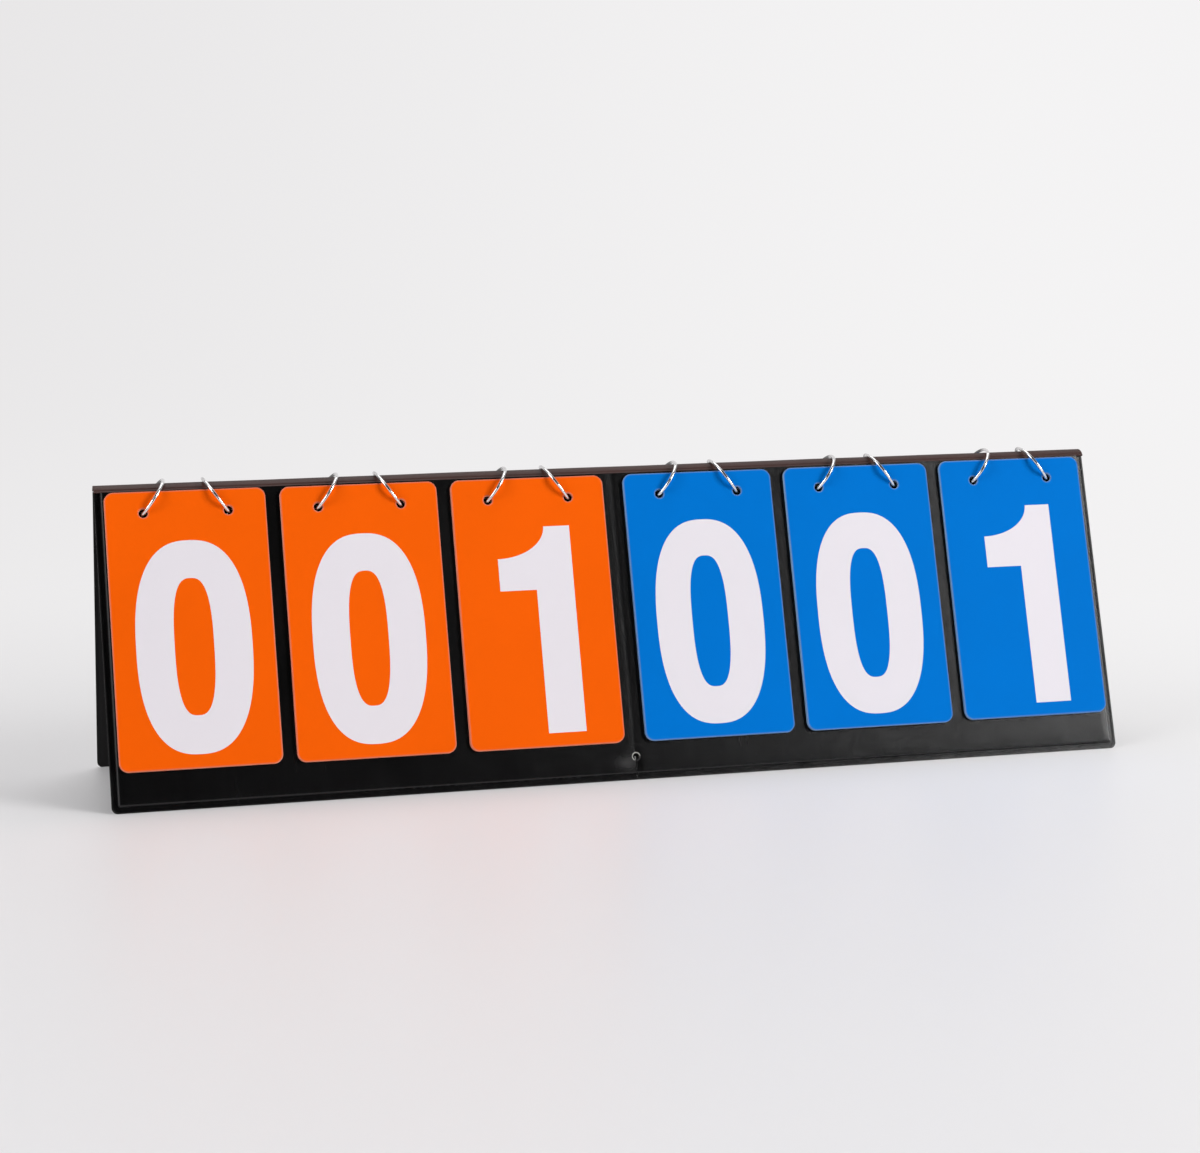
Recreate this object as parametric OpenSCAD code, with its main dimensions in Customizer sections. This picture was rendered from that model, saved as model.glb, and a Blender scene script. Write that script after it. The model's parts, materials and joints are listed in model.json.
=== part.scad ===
// Tabletop flip scoreboard: a tent of two vinyl-covered panels with six columns of number cards
// that hang on snap rings and are turned over the ridge.
// X runs along the ridge, the front faces -Y, and the feet stand on Z = 0.

/* [Panels] */
// Length of a panel, welded margins included
panel_l = 570; // [480:2:640]
// Height of a panel down its slope
panel_h = 172; // [166:1:220]
// Angle of each panel from upright, open on the table
panel_lean = 18.6; // [14:0.2:24]
// Thickness of the greyboard in a panel
board_t = 2; // [1.2:0.1:3]
// Thickness of the outer vinyl skin
skin_t = 0.4; // [0.3:0.05:0.6]
// Thickness of the inner vinyl lining
liner_t = 0.4; // [0.3:0.05:0.6]
// Width of the welded margin round a panel
weld_w = 3.4; // [2:0.1:6]
// Radius of the panel's lower corners
corner_r = 3.5; // [1:0.5:8]
// Radius of the skin where it rises from the margin over the board
shoulder_r = 0.9; // [0.6:0.1:1.2]
// Play between a greyboard and its pocket
board_play = 0.1; // [0.05:0.05:0.3]
// Distance from the panel's top edge to its greyboards
board_top = 2; // [1:0.5:4]
// Height of the flat worn on the feet
foot_flat = 0.25; // [0.15:0.05:0.4]

/* [Ridge] */
// Width of the ridge between the panels' outer faces
ridge_w = 12; // [10:0.5:18]
// Height of the ridge's arch above the panels' top edges
ridge_rise = 3.1; // [2:0.1:3.2]
// Thickness of the vinyl over the ridge
ridge_t = 0.8; // [0.5:0.1:1.2]

/* [Centre fold] */
// Gap between the two greyboards of a panel
fold_gap = 4; // [3:0.5:8]
// Radius of the crease pressed along the fold
crease_r = 1; // [0.6:0.1:1.6]
// Depth of the crease
crease_deep = 0.3; // [0.1:0.05:0.35]
// Diameter of the stop hole at the foot of the fold
stop_d = 4; // [3:0.5:6]
// Height of the stop hole above the panel's lower edge
stop_up = 12.5; // [9:0.5:18]
// Width of the slit below the stop hole
slit_w = 0.6; // [0.3:0.1:1.2]

/* [Cards] */
// Distance between two columns of one colour
card_gap = 8; // [5:0.5:14]
// Height of a card
card_h = 150; // [120:1:156]
// Thickness of a card
card_t = 0.2; // [0.1:0.05:0.3]
// Air between two cards in a stack
card_air = 0.03; // [0.02:0.01:0.06]
// Corner radius of a card
card_r = 5; // [2:0.5:9]
// Cards in one column, numbered from 0 up
card_count = 10; // [4:1:10]
// Distance from the outer columns to the panel's ends
edge_gap = 5; // [4:0.5:8]
// Distance between the two colours across the fold
middle_gap = 12; // [8:0.5:18]
// Distance from the panel's top edge down to a card
card_drop = 1.2; // [0:0.2:4]
// How much lower each column hangs than the general line
hang = [-0.35, 0, 0.1, 0.25, 0.25, -0.25];
// How many cards of each column are turned to the back
turned = [0, 0, 1, 0, 0, 1];
// How much lower a turned card hangs than the cards in front
turned_drop = 1.2; // [0.8:0.1:1.6]

/* [Card holes] */
// Diameter of a card's holes
hole_d = 5; // [4.8:0.1:6]
// Distance between the two holes of a card
hole_span = 45.4; // [30:0.2:60]
// Distance from a card's top edge to its holes
hole_in = 11.8; // [11:0.2:13]
// Diameter of the holes through a panel
panel_hole_d = 6; // [5.8:0.1:8]
// How much further out the panel holes stand than the card holes
panel_hole_out = 0.7; // [0.4:0.1:1]
// How much lower the panel holes stand than the card holes
panel_hole_low = 1.3; // [1:0.1:1.6]

/* [Rings] */
// Clear bore of a ring
ring_bore = 25; // [24.6:0.1:26]
// Thickness of the ring's wire
wire_d = 1.8; // [1.4:0.1:1.9]
// Angle at which a ring leans inward over its column
ring_lean = 36; // [30:1:38]
// How much lower than the card holes a ring sits
ring_low = 0.3; // [0.1:0.1:0.5]
// Angle up the ring, from its rear, at which its snap closes
snap_at = 172; // [150:1:185]
// Length of wire halved in the snap
snap_l = 3.2; // [2.4:0.2:5]
// Diameter of the snap's peg
peg_d = 0.8; // [0.6:0.1:0.9]
// Diameter of the hinge's flattened eyes
eye_d = 3; // [2.6:0.1:3.6]
// Thickness of a hinge eye
eye_t = 0.7; // [0.5:0.05:0.75]
// Diameter of the hinge's rivet
rivet_d = 1.1; // [0.8:0.1:1.4]
// Diameter of the rivet's heads
rivet_head_d = 2; // [1.6:0.1:2.4]
// Height of the rivet's heads
rivet_head_h = 0.35; // [0.2:0.05:0.6]
// Play between the two halves of a ring
ring_play = 0.06; // [0.04:0.01:0.1]

/* [Hidden] */
$fn = 48;
vinyl = [0.11, 0.11, 0.12];
lining = [0.07, 0.07, 0.08];
spine_tone = [0.2, 0.17, 0.17];
greyboard = [0.55, 0.51, 0.45];
orange = [0.97, 0.37, 0.06];
blue = [0, 0.45, 0.83];
chrome = [0.8, 0.81, 0.83];
columns = 6;
per_side = columns / 2;
card_w = ((panel_l - middle_gap) / 2 - edge_gap + card_gap) / per_side - card_gap;
past = 1;
panel_t = liner_t + board_t + skin_t;
ridge_z = panel_h * cos(panel_lean) + panel_t * sin(panel_lean) - foot_flat;
card_step = card_t + card_air;
stack_t = card_count * card_step - card_air;
hole_down = card_drop + hole_in;
ring_r = (ring_bore + wire_d) / 2;
chord_down = hole_down + ring_low;
chord_y = ridge_w / 2 + chord_down * sin(panel_lean) + stack_t / 2 * cos(panel_lean);
chord_z = ridge_z - chord_down * cos(panel_lean) + stack_t / 2 * sin(panel_lean);
ring_up = sqrt(ring_r * ring_r - chord_y * chord_y);
face_w = panel_l - 2 * weld_w;
face_h = panel_h - weld_w;
hinge_at = snap_at + 180;
lap_turn = snap_l / 2 / ring_r * 180 / PI;
eye_turn = asin((eye_d / 2 + ring_play) / ring_r);
head_turn = asin((rivet_head_d / 2 + ring_play) / ring_r);
play_turn = ring_play / ring_r * 180 / PI;
peg_l = 0.6;
arch_r = (ridge_w * ridge_w / 4 + ridge_rise * ridge_rise) / (2 * ridge_rise);

// Middle of column k, counted 1 to 6 from the left
function column_x(k) =
  let (side = k > per_side ? 1 : -1, step = k > per_side ? k - per_side - 1 : per_side - k)
  side * (middle_gap / 2 + card_w / 2 + step * (card_w + card_gap));
// Cards left in front in column k, the top one included
function front_cards(k) = card_count - turned[k - 1];
function card_colour(k) = k > per_side ? blue : orange;

// Frame of the front panel's outer face: X along it, Y up its slope, Z out of it
module on_front() {
  translate([0, -ridge_w / 2, ridge_z]) rotate([90 - panel_lean, 0, 0]) children();
}
module on_back() {
  mirror([0, 1, 0]) on_front() children();
}
module above_table() {
  difference() {
    children();
    translate([-panel_l, -panel_h, -panel_h]) cube([2 * panel_l, 2 * panel_h, panel_h]);
  }
}
module rounded(w, h, r) {
  translate([-w / 2 + r, -h]) square([w - 2 * r, h]);
  translate([-w / 2, -h + r]) square([w, h - 2 * r]);
  for (x = [-1, 1], y = [-r, r - h]) translate([x * (w / 2 - r), y]) circle(r);
}
// Outline of a panel, square at the ridge and rounded at its foot
module sheet(w, h, r) {
  translate([-w / 2, -h + r]) square([w, h - r]);
  translate([-w / 2 + r, -h]) square([w - 2 * r, h]);
  for (x = [-1, 1]) translate([x * (w / 2 - r), r - h]) circle(r);
}
module panel_drill(d) {
  translate([0, 0, -panel_t - past]) cylinder(d = d, h = panel_t + 2 * past);
}
// Ring holes, stop hole and slit, cut through a panel
module panel_cuts() {
  for (k = [1 : columns], side = [-1, 1])
    translate([column_x(k) + side * (hole_span / 2 + panel_hole_out), -hole_down - panel_hole_low, 0])
      panel_drill(panel_hole_d);
  translate([0, stop_up - panel_h, 0]) panel_drill(stop_d);
  translate([-slit_w / 2, -panel_h - past, -panel_t - past])
    cube([slit_w, stop_up + past, panel_t + 2 * past]);
}
// Profile of the raised face across a panel, its top corners rounded
module face_profile(w) {
  low = liner_t - panel_t;
  translate([-w / 2, low]) square([w, -low - shoulder_r]);
  translate([-w / 2 + shoulder_r, low]) square([w - 2 * shoulder_r, -low]);
  for (x = [-1, 1]) translate([x * (w / 2 - shoulder_r), -shoulder_r]) circle(shoulder_r);
}
module face_block() {
  tall = 2 * face_h;
  intersection() {
    rotate([90, 0, 0]) linear_extrude(face_h) face_profile(face_w);
    translate([-face_w / 2, 0, 0]) rotate([90, 0, 90]) linear_extrude(face_w) face_profile(tall);
  }
}
module board_blank(play) {
  long = face_w / 2 - skin_t - fold_gap / 2;
  high = face_h - skin_t - board_top;
  translate([fold_gap / 2 + play, -board_top - high + play, liner_t - panel_t])
    cube([long - 2 * play, high - 2 * play, board_t - play]);
}
module panel_cover() {
  difference() {
    union() {
      translate([0, 0, liner_t - panel_t]) linear_extrude(skin_t) sheet(panel_l, panel_h, corner_r);
      face_block();
    }
    for (side = [0, 1]) mirror([side, 0, 0]) board_blank(0);
    translate([0, past, crease_r - crease_deep]) rotate([90, 0, 0])
      cylinder(r = crease_r, h = panel_h + 2 * past);
    panel_cuts();
  }
}
module panel_liner() {
  difference() {
    translate([0, 0, -panel_t]) linear_extrude(liner_t) sheet(panel_l, panel_h, corner_r);
    panel_cuts();
  }
}
module panel_board(side) {
  difference() {
    mirror([side < 0 ? 1 : 0, 0, 0]) board_blank(board_play);
    panel_cuts();
  }
}
// One card at place n of a stack, its top edge's middle on the origin
module card(n) {
  translate([0, 0, n * card_step]) linear_extrude(card_t) difference() {
    rounded(card_w, card_h, card_r);
    for (side = [-1, 1]) translate([side * hole_span / 2, -hole_in]) circle(d = hole_d);
  }
}
module column_place(k, lower = 0) {
  translate([column_x(k), -card_drop - hang[k - 1] - lower, 0]) children();
}

module front_cover() {
  color(vinyl) above_table() on_front() panel_cover();
}
module front_liner() {
  color(lining) above_table() on_front() panel_liner();
}
module front_board(side) {
  color(greyboard) on_front() panel_board(side);
}
module back_cover() {
  color(vinyl) above_table() on_back() panel_cover();
}
module back_liner() {
  color(lining) above_table() on_back() panel_liner();
}
module back_board(side) {
  color(greyboard) on_back() panel_board(side);
}
// Vinyl arched over the ridge, cut off square on the panels' top edges
module ridge_spine() {
  color(spine_tone) translate([-panel_l / 2, 0, 0]) rotate([90, 0, 90]) linear_extrude(panel_l)
    difference() {
      translate([0, ridge_z + ridge_rise - arch_r]) circle(arch_r);
      translate([0, ridge_z + ridge_rise - arch_r]) circle(arch_r - ridge_t);
      for (side = [0, 1]) mirror([side, 0])
        translate([-ridge_w / 2, ridge_z]) rotate(-panel_lean)
          translate([-arch_r, -3 * arch_r]) square(3 * arch_r);
    }
}
module deck(k) {
  color(card_colour(k)) on_front() column_place(k) for (n = [0 : front_cards(k) - 2]) card(n);
}
module top_card(k) {
  color(card_colour(k)) on_front() column_place(k) card(front_cards(k) - 1);
}
module turned_card(k) {
  color(card_colour(k)) on_back() column_place(k, turned_drop) card(0);
}

// Wire of a ring in its own plane, from one angle through another
module wire(from, sweep) {
  rotate(from) rotate_extrude(angle = sweep) translate([ring_r, 0]) circle(d = wire_d);
}
// Room taken from the wire on one side of the ring's plane, for the other half to lie in
module lap_room(side, from, sweep) {
  low = side > 0 ? -ring_play / 2 : -2 * wire_d;
  rotate(from) rotate_extrude(angle = sweep) translate([ring_r - wire_d, low])
    square([2 * wire_d, 2 * wire_d + ring_play / 2]);
}
// Disc round a pin at an angle of the ring, between two heights across its plane
module pin_disc(at, d, low, high) {
  rotate(at) translate([ring_r, 0, low]) cylinder(d = d, h = high - low);
}
// Upper half, from the hinge over the ridge to the snap, with the snap's peg
module upper_half() {
  difference() {
    union() {
      wire(hinge_at + head_turn, 180 - head_turn + lap_turn - play_turn);
      pin_disc(hinge_at, eye_d, ring_play / 2, ring_play / 2 + eye_t);
    }
    lap_room(-1, hinge_at, eye_turn);
    lap_room(-1, snap_at - lap_turn, 3 * lap_turn);
    pin_disc(hinge_at, rivet_d + 2 * ring_play, -wire_d, wire_d);
  }
  pin_disc(snap_at, peg_d, ring_play / 2 - peg_l, wire_d / 4);
}
// Lower half, through the holes of cards and panels, with the snap's socket
module lower_half() {
  difference() {
    union() {
      wire(snap_at - lap_turn + play_turn, 180 - head_turn + lap_turn - play_turn);
      pin_disc(hinge_at, eye_d, -ring_play / 2 - eye_t, -ring_play / 2);
    }
    lap_room(1, hinge_at - eye_turn, eye_turn);
    lap_room(1, snap_at - 2 * lap_turn, 3 * lap_turn);
    pin_disc(hinge_at, rivet_d + 2 * ring_play, -wire_d, wire_d);
    pin_disc(snap_at, peg_d + 2 * ring_play, -wire_d, wire_d);
  }
}
module rivet() {
  seat = eye_t + 3 / 2 * ring_play;
  pin_disc(hinge_at, rivet_d, -seat - rivet_head_h / 2, seat + rivet_head_h / 2);
  for (side = [0, 1]) mirror([0, 0, side]) rotate(hinge_at) translate([ring_r, 0, seat])
    cylinder(d1 = rivet_head_d, d2 = rivet_d + ring_play, h = rivet_head_h);
}
// Snap ring of column k, through its left (-1) or right (1) holes, leaning inward
module ring(k, side) {
  color(chrome) translate([column_x(k) + side * hole_span / 2, 0, chord_z - hang[k - 1] * cos(panel_lean)])
    rotate([0, -side * ring_lean, 0]) translate([0, 0, ring_up]) rotate([90, 0, 90]) {
      upper_half();
      lower_half();
      rivet();
    }
}

front_cover();
front_liner();
front_board(-1);  // front_board_left
front_board(1);  // front_board_right
back_cover();
back_liner();
back_board(-1);  // back_board_left
back_board(1);  // back_board_right
ridge_spine();
deck(1);  // deck_1
deck(2);  // deck_2
deck(3);  // deck_3
deck(4);  // deck_4
deck(5);  // deck_5
deck(6);  // deck_6
top_card(1);  // top_card_1
top_card(2);  // top_card_2
top_card(3);  // top_card_3
top_card(4);  // top_card_4
top_card(5);  // top_card_5
top_card(6);  // top_card_6
turned_card(3);  // turned_card_3
turned_card(6);  // turned_card_6
ring(1, -1);  // ring_1_left
ring(1, 1);  // ring_1_right
ring(2, -1);  // ring_2_left
ring(2, 1);  // ring_2_right
ring(3, -1);  // ring_3_left
ring(3, 1);  // ring_3_right
ring(4, -1);  // ring_4_left
ring(4, 1);  // ring_4_right
ring(5, -1);  // ring_5_left
ring(5, 1);  // ring_5_right
ring(6, -1);  // ring_6_left
ring(6, 1);  // ring_6_right
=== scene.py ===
"""Tabletop flip scoreboard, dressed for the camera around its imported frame.

Two vinyl-covered panels stand as a tent. Six columns of number cards hang on
snap rings along the ridge, and each card turns over it. Lengths are in
millimetres, apart from the studio's and make_object's, which are in metres.
"""

from __future__ import annotations

import json
import logging
import math
from abc import ABC, abstractmethod
from collections.abc import Callable, Sequence
from dataclasses import dataclass, field
from enum import Enum
from typing import Any

import bpy
import numpy as np
from mathutils import Matrix, Vector, geometry

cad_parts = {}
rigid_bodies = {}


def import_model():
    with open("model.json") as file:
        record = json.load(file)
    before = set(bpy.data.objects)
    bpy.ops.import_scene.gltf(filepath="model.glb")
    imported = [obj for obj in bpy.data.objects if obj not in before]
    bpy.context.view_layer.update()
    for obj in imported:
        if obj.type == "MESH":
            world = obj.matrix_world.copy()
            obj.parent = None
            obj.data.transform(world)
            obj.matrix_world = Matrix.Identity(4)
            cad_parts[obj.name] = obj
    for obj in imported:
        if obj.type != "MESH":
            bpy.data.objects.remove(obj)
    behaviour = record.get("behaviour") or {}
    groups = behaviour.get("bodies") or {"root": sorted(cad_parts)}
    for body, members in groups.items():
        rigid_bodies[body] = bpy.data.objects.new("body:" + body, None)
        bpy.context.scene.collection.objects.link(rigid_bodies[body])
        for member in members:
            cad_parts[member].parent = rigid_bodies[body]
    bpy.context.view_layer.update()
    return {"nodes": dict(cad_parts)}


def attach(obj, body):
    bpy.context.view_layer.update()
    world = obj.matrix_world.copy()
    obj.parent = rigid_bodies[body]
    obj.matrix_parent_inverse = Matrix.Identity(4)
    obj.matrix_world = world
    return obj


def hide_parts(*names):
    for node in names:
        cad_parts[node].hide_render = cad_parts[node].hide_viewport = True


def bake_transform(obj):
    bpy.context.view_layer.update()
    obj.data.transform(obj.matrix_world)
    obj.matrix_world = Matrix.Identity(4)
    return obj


LOG = logging.getLogger("scoreboard")
MM = 0.001
# Lean of a panel from upright, in degrees
LEAN = 18.6
# Distance between the panels' outer faces at the ridge, and height of their top edges
RIDGE_W, RIDGE_Z = 12.0, 163.6593
# How far a panel's ring hole lies outward of the card's hole
RING_OUT = 0.7
# How much lower each column hangs than the general line, from the left
HANGS = (-0.35, 0.0, 0.1, 0.25, 0.25, -0.25)
# How many cards of each column are turned to the back
TURNED = (0, 0, 1, 0, 0, 1)
# Radius of a turned card's holes, which clears the ring while the card comes over
TURNED_HOLE = 3.1
# Radius of what is left open in the lining behind the stop hole
LINING_STOP = 0.34
# Direction across the photograph, along which the studio's tone changes
ACROSS = (0.97, -0.244, 0.0)
Array = np.ndarray
Field = Callable[[Array, Array], Array]
Pair = tuple[float, float]
Triple = tuple[float, float, float]
Colour = Triple


# Shader maths


class Signal:
    """An output socket that takes part in plain arithmetic.

    Args:
        graph: Node graph that holds the socket.
        socket: The output socket itself.
    """

    def __init__(self, graph: Graph, socket: bpy.types.NodeSocket) -> None:
        """Keeps the graph and the socket."""
        self.graph = graph
        self.socket = socket

    def _math(self, operation: str, first: Value, second: Value = 0.0) -> Signal:
        """Adds one Math node on two terms."""
        return self.graph.node("ShaderNodeMath", {"operation": operation}, {0: first, 1: second})

    def __add__(self, other: Value) -> Signal:
        """self + other."""
        return self._math("ADD", self, other)

    __radd__ = __add__

    def __sub__(self, other: Value) -> Signal:
        """self - other."""
        return self._math("SUBTRACT", self, other)

    def __rsub__(self, other: Value) -> Signal:
        """other - self."""
        return self._math("SUBTRACT", other, self)

    def __mul__(self, other: Value) -> Signal:
        """self * other."""
        return self._math("MULTIPLY", self, other)

    __rmul__ = __mul__

    def clamped(self) -> Signal:
        """The same value kept between 0 and 1."""
        return self._math("MINIMUM", self._math("MAXIMUM", self, 0.0), 1.0)

    def between(self, low: float, high: float) -> Signal:
        """0 below low, 1 above high, and a smooth rise between them.

        Args:
            low: Value that gives 0.
            high: Value that gives 1.

        Returns:
            The share from 0 to 1.
        """
        return self.graph.node(
            "ShaderNodeMapRange",
            {"interpolation_type": "SMOOTHSTEP"},
            {"Value": self, "From Min": low, "From Max": high},
        )


Value = Signal | float | tuple[float, ...]


class Graph:
    """A node tree with one way to add a node.

    Args:
        tree: Node tree of a material or a world.
    """

    def __init__(self, tree: bpy.types.NodeTree) -> None:
        """Empties the tree."""
        self.tree = tree
        tree.nodes.clear()

    def node(
        self,
        kind: str,
        settings: dict[str, Any] | None = None,
        inputs: dict[str | int, Value] | None = None,
        output: str | int = 0,
    ) -> Signal:
        """Adds a node.

        Args:
            kind: Blender's type name of the node.
            settings: Properties, which are set before the sockets.
            inputs: Values or links by socket name or number.
            output: Socket that the result stands for.

        Returns:
            The chosen output, or the first input of a node that ends the tree.
        """
        made = self.tree.nodes.new(kind)
        for name, value in (settings or {}).items():
            setattr(made, name, value)
        for name, value in (inputs or {}).items():
            self.feed(made.inputs[name], value)
        return Signal(self, made.outputs[output] if made.outputs else made.inputs[0])

    def feed(self, socket: bpy.types.NodeSocket, value: Value) -> None:
        """Links a signal to a socket, or writes a plain value on it.

        Args:
            socket: Input of a node.
            value: What it gets.
        """
        if isinstance(value, Signal):
            self.tree.links.new(value.socket, socket)
        elif isinstance(value, tuple) and socket.type == "RGBA":
            socket.default_value = (*value[:3], 1.0)
        else:
            socket.default_value = value

    def mix(self, share: Value, first: Value, second: Value) -> Signal:
        """Mixes two colours; share 1 gives the second."""
        return self.node("ShaderNodeMix", {"data_type": "RGBA"}, {0: share, 6: first, 7: second}, 2)

    def vector(self, operation: str, *terms: Value, output: str = "Vector") -> Signal:
        """Adds one Vector Math node on its terms."""
        fed = dict(enumerate(terms))
        return self.node("ShaderNodeVectorMath", {"operation": operation}, fed, output)

    def place(self, stretch: Triple = (1.0, 1.0, 1.0)) -> Signal:
        """The point on the object in metres, stretched along each axis."""
        return self.vector("MULTIPLY", self.node("ShaderNodeTexCoord", output="Object"), stretch)

    def along(self, at: Signal, way: Triple) -> Signal:
        """How far a place lies along a direction."""
        return self.vector("DOT_PRODUCT", at, way, output="Value")

    def noise(self, at: Signal, per_metre: float, detail: float = 2.0, rough: float = 0.5) -> Signal:
        """Smooth noise from 0 to 1 with that many waves in a metre."""
        fed = {"Vector": at, "Scale": per_metre, "Detail": detail, "Roughness": rough}
        return self.node("ShaderNodeTexNoise", inputs=fed)

    def cells(self, at: Signal, per_metre: float) -> Signal:
        """Distance to the nearest border of irregular cells."""
        fed = {"Vector": at, "Scale": per_metre}
        return self.node("ShaderNodeTexVoronoi", {"feature": "DISTANCE_TO_EDGE"}, fed)

    def attribute(self, name: str) -> Signal:
        """A number kept on the mesh's points."""
        return self.node("ShaderNodeAttribute", {"attribute_name": name}, output="Fac")

    def ray(self, kind: str) -> Signal:
        """1 where a ray of that kind looks, such as Camera or Glossy."""
        return self.node("ShaderNodeLightPath", output=f"Is {kind} Ray")

    def bump(self, height: Signal, relief: float) -> Signal:
        """A normal bent by a height, whose full relief is in millimetres."""
        fed = {"Strength": 1.0, "Distance": relief * MM, "Height": height}
        return self.node("ShaderNodeBump", inputs=fed)


# Finishes


@dataclass(frozen=True)
class Finish(ABC):
    """A surface, made once as a material.

    Attributes:
        name: Name of the material.
        colour: Main colour, linear.
        roughness: Middle roughness.
        specular: Level of the shine.
        relief: Depth of the finest relief.
    """

    name: str
    colour: Colour
    roughness: float = 0.5
    specular: float = 0.5
    relief: float = 0.02

    def shade(self, by: float) -> Colour:
        """The main colour made lighter or darker."""
        return tuple(c * by for c in self.colour)

    def coat(self, colour: Signal, uneven: Signal, bumps: Signal) -> dict[str, Value]:
        """Sockets of a surface with a colour, an uneven gloss and a relief."""
        normal = bumps.graph.bump(bumps, self.relief)
        return {"Base Color": colour, "Roughness": self.roughness + uneven, "Normal": normal}

    @abstractmethod
    def sockets(self, graph: Graph) -> dict[str, Value]:
        """What the finish feeds the shader with, by socket name."""

    def surface(self, graph: Graph, shader: Signal) -> Signal:
        """The closing shader, here the plain one; graph is for those that add to it."""
        return shader

    def material(self) -> bpy.types.Material:
        """Makes the material, or finds it if it is there.

        Returns:
            The material.
        """
        found = bpy.data.materials.get(self.name)
        if found:
            return found
        made = bpy.data.materials.new(self.name)
        made.use_nodes = True
        graph = Graph(made.node_tree)
        fed = {"Specular IOR Level": self.specular, **self.sockets(graph)}
        shader = graph.node("ShaderNodeBsdfPrincipled", inputs=fed)
        graph.node("ShaderNodeOutputMaterial", inputs={"Surface": self.surface(graph, shader)})
        made.diffuse_color = (*self.colour, 1.0)
        return made


@dataclass(frozen=True)
class Vinyl(Finish):
    """Calendered vinyl with a fine leather grain, lighter and rougher along edges, partly from rubbing and
    partly as painted highlights.

    Attributes:
        wear_and_highlight: Colour along edges, partly from rubbing and partly as painted highlights.
        lip_highlight: Colour of the painted highlight on the cut lip round the stop hole, where
            wear_and_highlight passes 2.
        grain: Width of one grain cell.
        streaks: Share of the drawn streaks that run down the slope.
    """

    wear_and_highlight: Colour = (0.05, 0.048, 0.05)
    lip_highlight: Colour = (0.42, 0.42, 0.39)
    grain: float = 0.9
    streaks: float = 0.35

    def sockets(self, graph: Graph) -> dict[str, Value]:
        """Grain, fine pores, long streaks, and edges lightened partly by rubbing and partly as painted
        highlights.

        Args:
            graph: Node tree of the material.

        Returns:
            Values or links by socket name.
        """
        at = graph.place()
        broad = graph.noise(at, 22.0, detail=3.0)
        pores = graph.noise(at, 2600.0, detail=2.0, rough=0.6)
        drawn = graph.noise(graph.place((420.0, 26.0, 26.0)), 1.0, detail=2.0)
        cell = graph.cells(at, 1.0 / (self.grain * MM)).between(0.0, 0.22)
        # Rubbing and painted highlights read from the mesh, made patchy by the broad noise
        worn_and_lit = (graph.attribute("wear_and_highlight") * (0.35 + 0.9 * broad)).clamped()
        dusty = (broad - 0.35) * 0.6 + (pores - 0.5) * 0.35 + (drawn - 0.5) * 0.2
        lit = graph.mix(dusty.clamped(), self.colour, self.shade(1.9))
        height = cell * 0.55 + pores * 0.35 + drawn * self.streaks
        # Painted highlight on the stop hole's lip, where the value passes 2
        lip_highlight_share = (graph.attribute("wear_and_highlight") - 2.0).clamped()
        colour = graph.mix(lip_highlight_share, graph.mix(worn_and_lit * 0.5, lit, self.wear_and_highlight), self.lip_highlight)
        return self.coat(colour, (broad - 0.5) * 0.10 + (drawn - 0.5) * 0.07 + worn_and_lit * 0.25, height)


@dataclass(frozen=True)
class PrintedCard(Finish):
    """Printed card stock under a matt film.

    Attributes:
        mottle: Strength of the ink's unevenness.
    """

    mottle: float = 0.05

    def sockets(self, graph: Graph) -> dict[str, Value]:
        """Uneven ink, a faintly waved film, and a pale rim at the edges and holes, partly scuffing and
        partly a painted highlight.

        Args:
            graph: Node tree of the material.

        Returns:
            Values or links by socket name.
        """
        at = graph.place()
        cloud = graph.noise(at, 14.0, detail=3.0)
        speck = graph.noise(at, 1900.0, detail=2.0, rough=0.6)
        wave = graph.noise(at, 260.0, detail=2.0)
        hair = graph.noise(graph.place((30.0, 900.0, 300.0)), 1.0, detail=3.0, rough=0.65)
        hair = hair.between(0.62, 0.75)
        # Pale rim at the edges and round the holes: partly scuffing, partly a painted highlight of the
        # edges catching light
        scuff_and_highlight = graph.attribute("wear_and_highlight").clamped()
        pale = tuple(c * 0.70 + 0.075 for c in self.colour)
        full = ((cloud - 0.3) * 1.2 + (speck - 0.5) * 0.5).clamped()
        ink = graph.mix(full, self.shade(1.0 - 2.0 * self.mottle), self.colour)
        colour = graph.mix(scuff_and_highlight * 0.9, ink, pale)
        return self.coat(colour, (cloud - 0.5) * 0.12 + hair * 0.06, wave * 0.6 + speck * 0.4)


@dataclass(frozen=True)
class CutEdge(Finish):
    """The cut edge of a card: pale core, stained by the ink of both faces."""

    def sockets(self, graph: Graph) -> dict[str, Value]:
        """Fine fibres and uneven staining.

        Args:
            graph: Node tree of the material.

        Returns:
            Values or links by socket name.
        """
        at = graph.place()
        fibre = graph.noise(at, 5200.0, detail=2.0, rough=0.7)
        stain = graph.noise(at, 160.0, detail=3.0)
        core = tuple(c * 0.45 + 0.42 for c in self.colour)
        colour = graph.mix((stain * 0.7 + fibre * 0.4 - 0.1).clamped(), self.colour, core)
        return self.coat(colour, (fibre - 0.5) * 0.2, fibre)


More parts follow.
